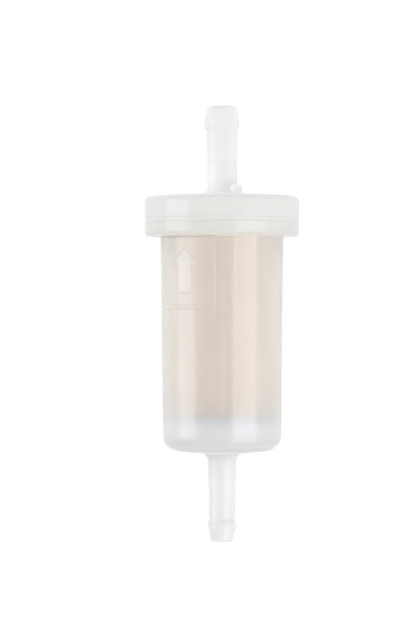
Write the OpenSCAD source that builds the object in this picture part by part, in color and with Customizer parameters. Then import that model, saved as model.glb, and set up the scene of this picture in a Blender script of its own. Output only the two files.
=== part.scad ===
// Inline fuel filter: a milky nylon bowl and cap welded at a collar, with a
// hose nozzle on each end and a pleated paper element sealed inside.
// Fuel enters by the lower nozzle, fills the bowl round the element, passes
// inwards through the paper and leaves by the upper nozzle. All sizes are in mm.

/* [Overall] */
// Length from the tip of one nozzle to the tip of the other
total_length = 100; // [98:0.5:104]
// Number of facets round each round part
smoothness = 96; // [48:12:144]

/* [Collar] */
// Diameter of the collar where the bowl and the cap are joined
collar_d = 35.5; // [35:0.1:40]
// Height of the collar's underside above the inlet tip
collar_z = 70.1; // [68:0.1:71]
// Height of the bowl's share of the collar
flange_h = 3.2; // [2.9:0.1:3.7]
// Height of the cap's share of the collar, up to its rounded shoulder
cap_rim_h = 4.95; // [4.7:0.05:5.2]
// Radius of the collar's upper shoulder
shoulder_r = 1.3; // [0.8:0.1:1.6]
// Radius of the collar's lower edge
lower_edge_r = 1; // [0.6:0.1:1.4]

/* [Bowl] */
// Diameter of the bowl where it meets the collar
bowl_d = 28.2; // [27.8:0.1:29]
// Taper of the bowl's wall, in degrees
bowl_draft = 0.62; // [0.4:0.02:0.8]
// Thickness of the bowl's wall
wall_t = 1.25; // [1:0.05:1.4]
// Height of the bowl's underside at the nozzle, above the inlet tip
bowl_base_z = 20; // [19:0.1:21]
// Radius of the bowl's lower corner
bowl_corner_r = 3.7; // [3:0.1:4.4]
// Slope of the bowl's underside, in degrees
floor_slope = 6.4; // [4:0.2:8]

/* [Inlet nozzle] */
// Outer diameter of the nozzle where it leaves the bowl
inlet_root_d = 6.6; // [6.2:0.1:7]
// Outer diameter of the nozzle just behind its barb
inlet_neck_d = 5.8; // [5.4:0.1:6]
// Diameter over the barb's crest
inlet_barb_d = 6.3; // [6.2:0.1:7]
// Diameter of the nozzle's tip
inlet_tip_d = 5; // [4.9:0.1:5.4]
// Diameter of the fuel passage
inlet_bore_d = 3.2; // [2.8:0.1:3.4]

/* [Outlet nozzle] */
// Outer diameter of the nozzle's shaft
outlet_neck_d = 7; // [6.6:0.1:7.2]
// Diameter over the barb's crest
outlet_barb_d = 8; // [7.8:0.1:8.4]
// Diameter of the nozzle's tip
outlet_tip_d = 6.5; // [6.2:0.1:6.8]
// Diameter of the fuel passage
outlet_bore_d = 4; // [3.6:0.1:4.2]

/* [Flow arrow] */
// Angle of the arrow from the front, -Y, positive towards the right, +X
arrow_angle = -36.7; // [-180:1:180]
// Length of the arrow
arrow_l = 10.3; // [8:0.1:12]
// Width of the arrow's head
arrow_w = 8; // [6:0.1:9]
// Height that the arrow stands out of the pad it is on
relief_h = 0.2; // [0.1:0.05:0.4]
// Angle that the pad takes up round the bowl, in degrees
pad_span = 59; // [50:1:70]
// Height of the pad below the collar
pad_l = 16.7; // [15:0.1:20]

/* [Filter element] */
// Outer diameter of the element's two end plates
plate_d = 21.2; // [20.4:0.1:22]
// Outer diameter of the pleated paper
media_d = 20.2; // [19.4:0.1:20.2]
// Inner diameter of the pleated paper
media_bore_d = 11.2; // [11:0.1:11.6]
// Number of pleats
pleats = 26; // [20:1:26]
// Thickness of the paper
paper_t = 0.4; // [0.3:0.05:0.4]
// Height of the element's closed end above the inlet tip
element_z = 26.3; // [25.8:0.1:27]
// Rows of windows in the core tube
window_rows = 8; // [6:1:9]
// Windows in each row
windows_round = 6; // [4:1:6]

/* [Hidden] */

arc_steps = 8;    // straight steps in each rounded corner
overlap = 0.5;    // how far a feature is sunk into the wall it stands on
past = 1;         // how far a cut reaches past the faces it opens

// The barbs. The frame's origin is the middle of the inlet barb's crest.
barb_land = 1;       // the short parallel stretch on a barb's crest
barb_slope_l = 1.2;  // the slope behind it, down to the nozzle's shaft
inlet_crest_z = 3.6;
outlet_crest_drop = 3.9;
outlet_crest_z = total_length - outlet_crest_drop;

// Levels, measured up from the inlet tip.
weld_h = 0.9;
flange_top = collar_z + flange_h;
cap_z = flange_top + weld_h;
shoulder_z = cap_z + cap_rim_h;
cap_slope = 3.6;     // of the cap's top, in degrees
chamber_h = 3.2;     // depth of the hollow in the cap
ceiling_z = cap_z + chamber_h;

// The collar's joint: a tongue on the bowl in a groove of the cap.
collar_r = collar_d / 2;
lip_r = 13.05;       // the bore of the collar
tongue_in = 14.65;
tongue_out = 16.35;
tongue_h = 3;
tongue_draft = 0.15;
weld_gap = 0.2;      // the gap round the tongue, which set nylon fills

// The bowl's wall, outside and inside.
bowl_r = bowl_d / 2;
floor_t = 1.6;
function wall_r(z) = bowl_r - (collar_z - z) * tan(bowl_draft);
function underside_z(r) = bowl_base_z + (r - inlet_root_d / 2) * tan(floor_slope);
base_r = wall_r(underside_z(bowl_r));
bore_base_r = base_r - wall_t;

// The cap's spigot and the sealed joint with the element's end plate.
spigot_r = 3.6;
spigot_l = 4.2;
spigot_gap = 0.15;   // between the spigot and the end plate's hole
seal_r = 5;
seal_h = 1.8;
socket_wall = 1.1;
socket_h = 1.7;      // how far the end plate's socket stands above the plate
seat_h = 0.8;        // the step in the socket that the seal sits on

// The element's end plates and the adhesive on them.
plate_r = plate_d / 2;
plate_t = 1.2;
rim_t = 0.45;
rim_h = 1.2;
bond_t = 1.2;
outlet_plate_z = cap_z;
media_z = element_z + plate_t + bond_t;
media_top = outlet_plate_z - bond_t;

// The core tube, a cage that holds the pleats out against the flow.
core_r = 5.2;
core_t = 0.7;
window_w = 3.2;
bar_h = 1.6;         // height of the bar between two rows of windows

// The feet under the closed end, which stand on the bowl's floor.
feet = 4;
foot_w = 1.2;
foot_reach = 1.6;    // length of a foot, along the radius
foot_out = 9.4;      // radius of a foot's outer face
foot_gap = 0.02;     // what keeps it clear of the floor
function foot_bottom_z() = underside_z(foot_out) + floor_t + foot_gap;

// Corner radii of the bowl and the cap, apart from those among the dimensions above.
mouth_edge_r = 0.2;       // inner edge of a fuel passage
outlet_mouth_edge_r = 0.3;
inlet_tip_edge_r = 0.5;   // outer edge of a nozzle's tip
outlet_tip_edge_r = 0.7;
neck_edge_r = 0.3;        // where a barb's slope meets the shaft
inlet_root_r = 1.7;       // fillet where a nozzle leaves its shell
outlet_root_r = 1.4;
collar_root_r = 0.4;      // where the bowl's wall meets the collar
weld_edge_r = 0.05;       // along the two faint lines round the collar
tongue_edge_r = 0.3;
groove_corner_r = 0.2;
lip_edge_r = 0.2;         // at the bore of the collar
floor_edge_r = 0.4;       // where the inlet's passage opens in the floor
spigot_edge_r = 0.4;      // at the spigot's end and its root
ceiling_corner_r = 0.5;

// Corner radii of the element's pieces.
plate_edge_r = 0.4;
rim_edge_r = 0.15;
hole_edge_r = 0.1;        // of the hole that takes the spigot
socket_edge_r = 0.3;
socket_mouth_r = 0.2;
seal_low_r = 0.35;
seal_top_r = 0.6;

function unit(v) = v / norm(v);
function turned(v, a) = [v.x * cos(a) - v.y * sin(a), v.x * sin(a) + v.y * cos(a)];

// The arc of radius r that rounds corner b between neighbours a and c.
function corner(a, b, c, r) =
    r == 0 ? [b] :
    let (
        u = unit(a - b),
        v = unit(c - b),
        half = acos(u * v) / 2,
        centre = b + unit(u + v) * r / sin(half),
        start = b + u * r / tan(half) - centre,
        sweep = -sign(cross(u, v)) * (180 - 2 * half)
    )
    [for (i = [0:arc_steps]) centre + turned(start, sweep * i / arc_steps)];

// An outline of [radius, height, corner radius] points, with its corners rounded.
function rounded(outline) =
    let (
        n = len(outline),
        flat = [for (p = outline) [p.x, p.y]]
    )
    [for (i = [0:n - 1]) each corner(flat[(i + n - 1) % n], flat[i], flat[(i + 1) % n], outline[i].z)];

module lathe(outline) {
    rotate_extrude($fn = smoothness) polygon(rounded(outline));
}

// Moves a part drawn up from the inlet tip into the frame.
module placed() {
    translate([0, 0, -inlet_crest_z]) children();
}

// Turns a part that faces +X so that it faces an angle from the front.
module facing(angle) {
    rotate(angle - 90) children();
}

// ---- housing ----

bowl_outline = [
    [inlet_bore_d / 2, 0, mouth_edge_r],
    [inlet_tip_d / 2, 0, inlet_tip_edge_r],
    [inlet_barb_d / 2, inlet_crest_z - barb_land / 2, 0],
    [inlet_barb_d / 2, inlet_crest_z + barb_land / 2, 0],
    [inlet_neck_d / 2, inlet_crest_z + barb_land / 2 + barb_slope_l, neck_edge_r],
    [inlet_root_d / 2, underside_z(inlet_root_d / 2), inlet_root_r],
    [base_r, underside_z(base_r), bowl_corner_r],
    [bowl_r, collar_z, collar_root_r],
    [collar_r, collar_z, lower_edge_r],
    [collar_r, flange_top, weld_edge_r],
    [tongue_out, flange_top, 0],
    [tongue_out - tongue_draft, flange_top + tongue_h, tongue_edge_r],
    [tongue_in + tongue_draft, flange_top + tongue_h, tongue_edge_r],
    [tongue_in, flange_top, 0],
    [lip_r, flange_top, lip_edge_r],
    [bowl_r - wall_t, collar_z, 0],
    [bore_base_r, underside_z(bore_base_r) + floor_t, bowl_corner_r - wall_t],
    [inlet_bore_d / 2, underside_z(inlet_bore_d / 2) + floor_t, floor_edge_r]
];

// A skin that stands h outside the bowl's wall, from z0 up to z1.
function skin(z0, z1, h) = [
    [wall_r(z0) - overlap, z0], [wall_r(z0) + h, z0],
    [wall_r(z1) + h, z1], [wall_r(z1) - overlap, z1]
];

// The low pad round the bowl's shoulder that carries the arrow.
pad_h = 0.12;
module arrow_pad() {
    facing(arrow_angle) rotate(-pad_span / 2)
        rotate_extrude(angle = pad_span, $fn = smoothness)
            polygon(skin(collar_z - pad_l, collar_z + overlap, pad_h));
}

// The flow arrow's outline, pointing up, with its tip at the origin.
arrow_head_l = 3.8;
arrow_shaft_w = 4;
arrow_outline = [
    [0, 0],
    [-arrow_w / 2, -arrow_head_l], [-arrow_shaft_w / 2, -arrow_head_l],
    [-arrow_shaft_w / 2, -arrow_l], [arrow_shaft_w / 2, -arrow_l],
    [arrow_shaft_w / 2, -arrow_head_l], [arrow_w / 2, -arrow_head_l]
];
arrow_drop = 2.8;    // how far the arrow's tip is below the collar
arrow_tip_z = collar_z - arrow_drop;
module flow_arrow() {
    intersection() {
        facing(arrow_angle) translate([0, 0, arrow_tip_z])
            rotate([90, 0, 90]) linear_extrude(collar_r) polygon(arrow_outline);
        rotate_extrude($fn = smoothness)
            polygon(skin(arrow_tip_z - arrow_l - past, arrow_tip_z + past, pad_h + relief_h));
    }
}

module bowl() {
    color("#e9e6e0") placed() {
        lathe(bowl_outline);
        arrow_pad();
        flow_arrow();
    }
}

cap_top_z = shoulder_z + (collar_r - outlet_neck_d / 2) * tan(cap_slope);
cap_outline = [
    [outlet_bore_d / 2, ceiling_z - spigot_l, mouth_edge_r],
    [spigot_r, ceiling_z - spigot_l, spigot_edge_r],
    [spigot_r, ceiling_z, spigot_edge_r],
    [lip_r, ceiling_z, ceiling_corner_r],
    [lip_r, cap_z, lip_edge_r],
    [tongue_in - weld_gap, cap_z, 0],
    [tongue_in - weld_gap, cap_z + tongue_h - weld_gap, groove_corner_r],
    [tongue_out + weld_gap, cap_z + tongue_h - weld_gap, groove_corner_r],
    [tongue_out + weld_gap, cap_z, 0],
    [collar_r, cap_z, weld_edge_r],
    [collar_r, shoulder_z, shoulder_r],
    [outlet_neck_d / 2, cap_top_z, outlet_root_r],
    [outlet_neck_d / 2, outlet_crest_z - barb_land / 2 - barb_slope_l, neck_edge_r],
    [outlet_barb_d / 2, outlet_crest_z - barb_land / 2, 0],
    [outlet_barb_d / 2, outlet_crest_z + barb_land / 2, 0],
    [outlet_tip_d / 2, total_length, outlet_tip_edge_r],
    [outlet_bore_d / 2, total_length, outlet_mouth_edge_r]
];

// The stub left by the mould's gate, beside the outlet nozzle, and the web between them.
gate_angle = 52;
gate_reach = 4.1;
gate_r = 1.4;
gate_top_z = 81.9;
gate_edge_r = 0.6;
gate_foot_h = 1;     // how far above the cap's ceiling the stub starts, inside the cap's top
web_in = 2.4;        // the web starts inside the nozzle's wall, clear of its bore
web_drop = 0.5;      // how far the web stops below the stub's top
module gate_stub() {
    foot_z = ceiling_z + gate_foot_h;
    facing(gate_angle) {
        translate([gate_reach, 0, 0])
            lathe([
                [0, foot_z, 0], [gate_r, foot_z, 0],
                [gate_r, gate_top_z, gate_edge_r], [0, gate_top_z, 0]
            ]);
        translate([web_in, -gate_r, foot_z])
            cube([gate_reach - web_in, 2 * gate_r, gate_top_z - web_drop - foot_z]);
    }
}

module cap() {
    color("#efedea") placed() {
        lathe(cap_outline);
        gate_stub();
    }
}

// Set nylon between the cap and the bowl's flange, round the tongue.
weld_inset = 0.03;   // the weld is a little lower than the collar's faces
module weld_ring() {
    color("#dedbd4") placed() difference() {
        lathe([
            [lip_r + weld_inset, flange_top, 0],
            [collar_r - weld_inset, flange_top, 0],
            [collar_r - weld_inset, cap_z, 0],
            [tongue_out + weld_gap, cap_z, 0],
            [tongue_out + weld_gap, cap_z + tongue_h - weld_gap, groove_corner_r],
            [tongue_in - weld_gap, cap_z + tongue_h - weld_gap, groove_corner_r],
            [tongue_in - weld_gap, cap_z, 0],
            [lip_r + weld_inset, cap_z, 0]
        ]);
        lathe([
            [tongue_out, flange_top, 0],
            [tongue_out - tongue_draft, flange_top + tongue_h, tongue_edge_r],
            [tongue_in + tongue_draft, flange_top + tongue_h, tongue_edge_r],
            [tongue_in, flange_top, 0]
        ]);
    }
}

// ---- filter element ----

// The upper end plate, open in the middle, with a socket that takes the cap's spigot.
module outlet_end_plate() {
    color("#e4e0d8") placed() lathe([
        [spigot_r + spigot_gap, outlet_plate_z, hole_edge_r],
        [plate_r - rim_t, outlet_plate_z, 0],
        [plate_r - rim_t, outlet_plate_z - rim_h, 0],
        [plate_r, outlet_plate_z - rim_h, rim_edge_r],
        [plate_r, outlet_plate_z + plate_t, plate_edge_r],
        [seal_r + socket_wall, outlet_plate_z + plate_t, socket_edge_r],
        [seal_r + socket_wall, outlet_plate_z + plate_t + socket_h, socket_edge_r],
        [seal_r, outlet_plate_z + plate_t + socket_h, socket_mouth_r],
        [seal_r, outlet_plate_z + seat_h, 0],
        [spigot_r + spigot_gap, outlet_plate_z + seat_h, hole_edge_r]
    ]);
}

// The rubber ring that seals the end plate's socket to the cap's spigot.
module neck_seal() {
    seal_z = outlet_plate_z + seat_h;
    color("#2b2b2b") placed() lathe([
        [spigot_r, seal_z, seal_low_r], [seal_r, seal_z, seal_low_r],
        [seal_r, seal_z + seal_h, seal_top_r], [spigot_r, seal_z + seal_h, seal_top_r]
    ]);
}

// A ring of set adhesive that bonds the paper and the core tube to an end plate.
module bond(z) {
    placed() translate([0, 0, z]) rotate_extrude($fn = smoothness)
        translate([core_r, 0]) square([plate_r - rim_t - core_r, bond_t]);
}

module outlet_end_adhesive() {
    color("#d8cfae") bond(media_top);
}

module closed_end_adhesive() {
    color("#d8cfae") bond(element_z + plate_t);
}

// The lower end plate, closed, on its feet.
module closed_end_plate() {
    foot_h = element_z + plate_t / 2 - foot_bottom_z();
    color("#8f98b4") placed() {
        lathe([
            [0, element_z, 0],
            [plate_r, element_z, plate_edge_r],
            [plate_r, element_z + plate_t + rim_h, rim_edge_r],
            [plate_r - rim_t, element_z + plate_t + rim_h, 0],
            [plate_r - rim_t, element_z + plate_t, 0],
            [0, element_z + plate_t, 0]
        ]);
        for (i = [0:feet - 1])
            rotate((i + 0.5) * 360 / feet)
                translate([foot_out - foot_reach, -foot_w / 2, foot_bottom_z()])
                    cube([foot_reach, foot_w, foot_h]);
    }
}

// Folds of the paper. The widths are half of the flat on each fold, on its outward side.
crest_w = 0.66;
valley_w = 0.11;
media_r = media_d / 2;
media_bore_r = media_bore_d / 2;
pitch = 360 / pleats;
function at(r, turn, side) = [r * cos(turn) - side * sin(turn), r * sin(turn) + side * cos(turn)];

// One boundary of the folded paper: outer folds at r1 and inner folds at r0.
function folds(r1, w1, r0, w0) = [
    for (i = [0:pleats - 1]) each [
        at(r1, i * pitch, -w1), at(r1, i * pitch, w1),
        at(r0, (i + 0.5) * pitch, -w0), at(r0, (i + 0.5) * pitch, w0)
    ]
];

// The paper's two ends meet side by side in the pleat at the back, with a strip of adhesive between them.
seam_gap_w = 2 * (crest_w - paper_t);
seam_strip_w = 0.4;
seam_depth = 2.6;
module pleated_media() {
    color("#d9c8b4") placed() facing(180) translate([0, 0, media_z]) difference() {
        linear_extrude(media_top - media_z) difference() {
            polygon(folds(media_r, crest_w, media_bore_r + paper_t, valley_w));
            polygon(folds(media_r - paper_t, crest_w - paper_t, media_bore_r, valley_w + paper_t));
        }
        translate([media_r - 1.5 * paper_t, -seam_gap_w / 2, -past])
            cube([2 * paper_t, seam_gap_w, media_top - media_z + 2 * past]);
    }
}

module media_seam() {
    color("#cdbb95") placed() facing(180) translate([media_r - seam_depth, 0, media_z])
        translate([0, -seam_strip_w / 2, 0]) cube([seam_depth, seam_strip_w, media_top - media_z]);
}

module core_tube() {
    bottom = element_z + plate_t;
    top = outlet_plate_z;
    step = (top - bottom - 2 * bond_t - bar_h) / window_rows;
    color("#e2ded6") placed() difference() {
        translate([0, 0, bottom]) difference() {
            cylinder(r = core_r, h = top - bottom, $fn = smoothness);
            translate([0, 0, -past])
                cylinder(r = core_r - core_t, h = top - bottom + 2 * past, $fn = smoothness);
        }
        for (row = [0:window_rows - 1], i = [0:windows_round - 1])
            rotate(i * 360 / windows_round)
                translate([0, -window_w / 2, bottom + bond_t + bar_h + row * step])
                    cube([core_r + past, window_w, step - bar_h]);
    }
}

bowl();
cap();
weld_ring();
outlet_end_plate();
outlet_end_adhesive();
pleated_media();
media_seam();
core_tube();
closed_end_adhesive();
closed_end_plate();
neck_seal();
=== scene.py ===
"""The looks of an inline fuel filter: a milky nylon bowl and cap round a pleated paper element.

Lengths are in millimetres and heights are measured up from the tip of the inlet nozzle, as in
part.scad; row() turns them into the frame's metres. The front is -Y.
"""

import math

import bmesh
import bpy
from mathutils import Matrix, Vector, noise


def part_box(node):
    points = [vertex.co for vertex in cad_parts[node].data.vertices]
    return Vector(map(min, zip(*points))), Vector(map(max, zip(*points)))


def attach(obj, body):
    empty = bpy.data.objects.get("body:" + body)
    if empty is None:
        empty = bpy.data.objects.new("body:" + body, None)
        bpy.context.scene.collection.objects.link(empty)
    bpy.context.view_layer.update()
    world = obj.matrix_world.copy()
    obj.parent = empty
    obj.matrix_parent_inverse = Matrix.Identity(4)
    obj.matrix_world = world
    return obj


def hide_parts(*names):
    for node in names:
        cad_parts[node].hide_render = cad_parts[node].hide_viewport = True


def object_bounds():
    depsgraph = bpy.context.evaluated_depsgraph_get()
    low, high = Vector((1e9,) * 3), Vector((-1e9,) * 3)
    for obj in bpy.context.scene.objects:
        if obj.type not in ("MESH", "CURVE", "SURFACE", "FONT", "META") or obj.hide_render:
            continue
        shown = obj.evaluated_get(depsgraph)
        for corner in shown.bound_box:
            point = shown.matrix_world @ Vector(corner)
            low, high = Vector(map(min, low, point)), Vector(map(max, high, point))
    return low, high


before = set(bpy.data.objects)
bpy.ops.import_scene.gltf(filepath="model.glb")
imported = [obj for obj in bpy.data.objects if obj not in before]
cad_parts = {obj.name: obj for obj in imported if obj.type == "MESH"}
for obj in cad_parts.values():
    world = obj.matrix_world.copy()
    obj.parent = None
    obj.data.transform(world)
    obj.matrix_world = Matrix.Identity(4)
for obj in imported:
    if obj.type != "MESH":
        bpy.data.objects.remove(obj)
CAD_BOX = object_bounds()

MM = 0.001
TIP_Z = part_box("bowl")[0].z  # the inlet nozzle's tip, in the row frame

# ---- sizes, as in part.scad ----

LENGTH = 100.0

COLLAR_R = 17.75
COLLAR_Z = 70.1
FLANGE_TOP = 73.3
CAP_Z = 74.2
SHOULDER_Z = 79.15
CEILING_Z = 77.4
CAP_SLOPE = math.tan(math.radians(3.6))
LIP_R = 13.05  # the bore of the collar
TONGUE_IN, TONGUE_OUT, TONGUE_H, TONGUE_DRAFT = 14.65, 16.35, 3.0, 0.15
WELD_GAP = 0.2
WELD_INSET = 0.03

BOWL_R = 14.1
WALL_T, FLOOR_T = 1.25, 1.6
WALL_SLOPE = math.tan(math.radians(0.62))
FLOOR_SLOPE = math.tan(math.radians(6.4))
BASE_Z = 20.0

INLET_ROOT_R, INLET_NECK_R, INLET_BARB_R, INLET_TIP_R, INLET_BORE_R = 3.3, 2.9, 3.15, 2.5, 1.6
OUTLET_NECK_R, OUTLET_BARB_R, OUTLET_TIP_R, OUTLET_BORE_R = 3.5, 4.0, 3.25, 2.0
INLET_CREST_Z, OUTLET_CREST_Z = 3.6, LENGTH - 3.9
BARB_LAND, BARB_SLOPE_L = 1.0, 1.2
SPIGOT_R, SPIGOT_L, SPIGOT_GAP = 3.6, 4.2, 0.15

GATE_ANGLE = 52  # from the front, in degrees, positive towards +X
GATE_REACH, GATE_R, GATE_TOP_Z = 4.1, 1.4, 81.9
GATE_FOOT_Z = CEILING_Z + 1
WEB_IN, WEB_DROP = 2.4, 0.5

ARROW_ANGLE = -36.7  # from the front, in degrees, positive towards +X
ARROW_L, ARROW_W, ARROW_HEAD_L, ARROW_SHAFT_W = 10.3, 8.0, 3.8, 4.0
ARROW_TIP_Z = COLLAR_Z - 2.8
RELIEF_H = 0.2
PAD_SPAN, PAD_L, PAD_H = 59.0, 16.7, 0.12

PLATE_R, PLATE_T, RIM_T, RIM_H, BOND_T = 10.6, 1.2, 0.45, 1.2, 1.2
ELEMENT_Z = 26.3
OUTLET_PLATE_Z = CAP_Z
SEAL_R, SEAL_H, SEAT_H, SOCKET_H, SOCKET_WALL = 5.0, 1.8, 0.8, 1.7, 1.1
SEAL_Z = OUTLET_PLATE_Z + SEAT_H
MEDIA_R, MEDIA_BORE_R, PLEATS, PAPER_T = 10.1, 5.6, 26, 0.4
MEDIA_Z, MEDIA_TOP = ELEMENT_Z + PLATE_T + BOND_T, OUTLET_PLATE_Z - BOND_T
SEAM_W, SEAM_DEPTH = 0.4, 2.6
CORE_R, CORE_T = 5.2, 0.7
WINDOW_ROWS, WINDOWS_ROUND, WINDOW_W, BAR_H = 8, 6, 3.2, 1.6
FEET, FOOT_W, FOOT_REACH, FOOT_OUT, FOOT_GAP = 4, 1.2, 1.6, 9.4, 0.02

# ---- corner radii; some are softer than in part.scad, to catch the light as the mouldings do ----

MOUTH_EDGE_R, OUTLET_MOUTH_EDGE_R = 0.2, 0.3
INLET_TIP_EDGE_R, OUTLET_TIP_EDGE_R = 0.5, 0.7
BARB_FRONT_R, BARB_BACK_R, NECK_EDGE_R = 0.35, 0.3, 0.4
INLET_FILLET_R, OUTLET_FILLET_R = 1.7, 1.4
BOWL_CORNER_R, FLOOR_EDGE_R = 3.7, 0.4
COLLAR_ROOT_R, LOWER_EDGE_R, WELD_EDGE_R, SHOULDER_R = 0.25, 1.0, 0.07, 1.3
TONGUE_EDGE_R, GROOVE_CORNER_R, LIP_EDGE_R, BEAD_EDGE_R = 0.3, 0.2, 0.2, 0.03
SPIGOT_EDGE_R, CEILING_CORNER_R = 0.4, 0.5
GATE_EDGE_R, WEB_EDGE_R = 0.6, 0.15
PLATE_EDGE_R, RIM_EDGE_R, RIM_INNER_R, HOLE_EDGE_R, FOOT_EDGE_R = 0.4, 0.15, 0.1, 0.1, 0.2
SOCKET_EDGE_R, SOCKET_MOUTH_R = 0.3, 0.2
SEAL_LOW_R, SEAL_TOP_R = 0.35, 0.6
CORE_EDGE_R = 0.12

# ---- how finely the meshes are divided ----

ROUND_COLUMNS, GATE_COLUMNS = 160, 48
PAD_COLUMNS, PLAIN_COLUMNS = 250, 110  # of the bowl: across the arrow's pad, and round the rest
PAD_ROWS = 0.11  # the spacing of the bowl's rows on the pad
ELEMENT_ROWS = 28
FOLD_STEPS = 8
COLUMNS_PER_BAR = 6
SHARP = 50  # the angle, in degrees, from which an edge is shaded as sharp
SLIVER = 0.0005  # shorter edges are dissolved after two meshes are joined
ON_AXIS = 1e-6


def wall_r(z):
    """Radius of the bowl's outer wall."""
    return BOWL_R - (COLLAR_Z - z) * WALL_SLOPE


def underside_z(r):
    """Height of the bowl's sloping underside."""
    return BASE_Z + (r - INLET_ROOT_R) * FLOOR_SLOPE


def row(x, y, z):
    return (x * MM, y * MM, TIP_Z + z * MM)


def smooth(low, high, value):
    t = min(1.0, max(0.0, (value - low) / (high - low)))
    return t * t * (3 - 2 * t)


def front_angle(degrees):
    """The angle round Z, in radians, of a direction given in degrees from the front."""
    return math.radians(degrees - 90)


# ---- outlines and meshes ----


def rounded(outline, fewest=4, least_radius=0.25, steps_per_mm=5):
    """The (r, z) points of a closed outline of (r, z, corner radius) points, its corners rounded."""
    points = []
    count = len(outline)
    for i, (r, z, radius) in enumerate(outline):
        here = Vector((r, z))
        if radius == 0:
            points.append(here)
            continue
        before = Vector(outline[i - 1][:2]) - here
        after = Vector(outline[(i + 1) % count][:2]) - here
        before.normalize()
        after.normalize()
        half = before.angle(after) / 2
        centre = here + (before + after).normalized() * radius / math.sin(half)
        start = here + before * radius / math.tan(half) - centre
        sweep = math.copysign(math.pi - 2 * half, -before.cross(after))
        steps = max(fewest, math.ceil(abs(sweep) * max(radius, least_radius) * steps_per_mm))
        for k in range(steps + 1):
            c, s = math.cos(sweep * k / steps), math.sin(sweep * k / steps)
            points.append(centre + Vector((start.x * c - start.y * s, start.x * s + start.y * c)))
    return points


def divided(points, spacing, hold=0.15):
    """The outline again, its long straight runs divided and held by a point close to each end."""
    result = []
    for i, a in enumerate(points):
        b = points[(i + 1) % len(points)]
        length = (b - a).length
        result.append(a)
        if length < 3 * hold:
            continue
        step = spacing((a + b) / 2)
        inner = max(1, math.ceil((length - 2 * hold) / step))
        for k in range(inner + 1):
            result.append(a.lerp(b, (hold + (length - 2 * hold) * k / inner) / length))
    return result


def mesh_object(name, vertices, faces, sharp=SHARP):
    mesh = bpy.data.meshes.new(name)
    mesh.from_pydata([row(*v) for v in vertices], [], faces)
    mesh.validate()
    mesh.shade_smooth()
    mesh.set_sharp_from_angle(angle=math.radians(sharp))
    obj = bpy.data.objects.new(name, mesh)
    bpy.context.scene.collection.objects.link(obj)
    return obj


def even_angles(count):
    return [2 * math.pi * k / count for k in range(count)]


def lathe(name, outline, angles=None, spacing=lambda p: 2.0, tweak=None):
    """Spins a closed outline round the Z axis. tweak(r, z, angle) gives the radius to use there."""
    angles = angles or even_angles(ROUND_COLUMNS)
    points = divided(rounded(outline), spacing)
    vertices, rings = [], []
    for p in points:
        if p.x < ON_AXIS:
            rings.append([len(vertices)] * len(angles))
            vertices.append((0.0, 0.0, p.y))
            continue
        rings.append(list(range(len(vertices), len(vertices) + len(angles))))
        for a in angles:
            r = tweak(p.x, p.y, a) if tweak else p.x
            vertices.append((r * math.cos(a), r * math.sin(a), p.y))
    faces = []
    for i, ring in enumerate(rings):
        above = rings[(i + 1) % len(rings)]
        for k in range(len(angles)):
            n = (k + 1) % len(angles)
            face = list(dict.fromkeys((ring[k], ring[n], above[n], above[k])))
            if len(face) > 2:
                faces.append(face)
    return mesh_object(name, vertices, faces)


def wall_faces(count, rows):
    """The faces between rows of count points, each row a closed ring."""
    faces = []
    for k in range(rows):
        for i in range(count):
            n = (i + 1) % count
            faces.append((k * count + i, k * count + n, (k + 1) * count + n, (k + 1) * count + i))
    return faces


def apply_modifiers(obj):
    """Puts the modifiers' result into the mesh."""
    result = bpy.data.meshes.new_from_object(obj.evaluated_get(bpy.context.evaluated_depsgraph_get()))
    obj.modifiers.clear()
    obj.data = result


def block(name, low, high, edge):
    """A box between two corners, with rounded edges."""
    (x0, y0, z0), (x1, y1, z1) = low, high
    corners = [(x, y, z) for z in (z0, z1) for x, y in ((x0, y0), (x1, y0), (x1, y1), (x0, y1))]
    sides = [(0, 1, 5, 4), (1, 2, 6, 5), (2, 3, 7, 6), (3, 0, 4, 7)]
    obj = mesh_object(name, corners, [(3, 2, 1, 0), (4, 5, 6, 7)] + sides)
    bevel = obj.modifiers.new("edge", "BEVEL")
    bevel.width = edge * MM
    bevel.segments = 3
    apply_modifiers(obj)
    return obj


def merge(obj, other):
    """Joins two overlapping closed meshes into one skin without slivers and removes the second."""
    join = obj.modifiers.new("merge", "BOOLEAN")
    join.operation = "UNION"
    join.solver = "EXACT"
    join.object = other
    apply_modifiers(obj)
    skin = bmesh.new()
    skin.from_mesh(obj.data)
    bmesh.ops.dissolve_degenerate(skin, dist=SLIVER * MM, edges=skin.edges)
    skin.to_mesh(obj.data)
    skin.free()
    obj.data.set_sharp_from_angle(angle=math.radians(SHARP))
    bpy.data.objects.remove(other)


# ---- the bowl ----

ARROW = [
    (0, 0),
    (-ARROW_W / 2, -ARROW_HEAD_L),
    (-ARROW_SHAFT_W / 2, -ARROW_HEAD_L),
    (-ARROW_SHAFT_W / 2, -ARROW_L),
    (ARROW_SHAFT_W / 2, -ARROW_L),
    (ARROW_SHAFT_W / 2, -ARROW_HEAD_L),
    (ARROW_W / 2, -ARROW_HEAD_L),
]
BELOW_PAD_Z, UNDER_COLLAR_Z = COLLAR_Z - PAD_L - 2, COLLAR_Z - 0.3  # the relief's outermost rows
SKIN_DEPTH = 0.05  # what is this close to the outer wall's radius belongs to its skin
PAD_EDGE, ARROW_EDGE = 0.09, 0.5  # half the widths of their sloping edges
RIDGE_H, RIDGE_W = 0.07, 0.16  # the witness line round the mould's insert
GROOVE_D, GROOVE_W, GROOVE_UP, GROOVE_FADE = 0.05, 0.16, 0.9, 0.6  # the fine line above it


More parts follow.
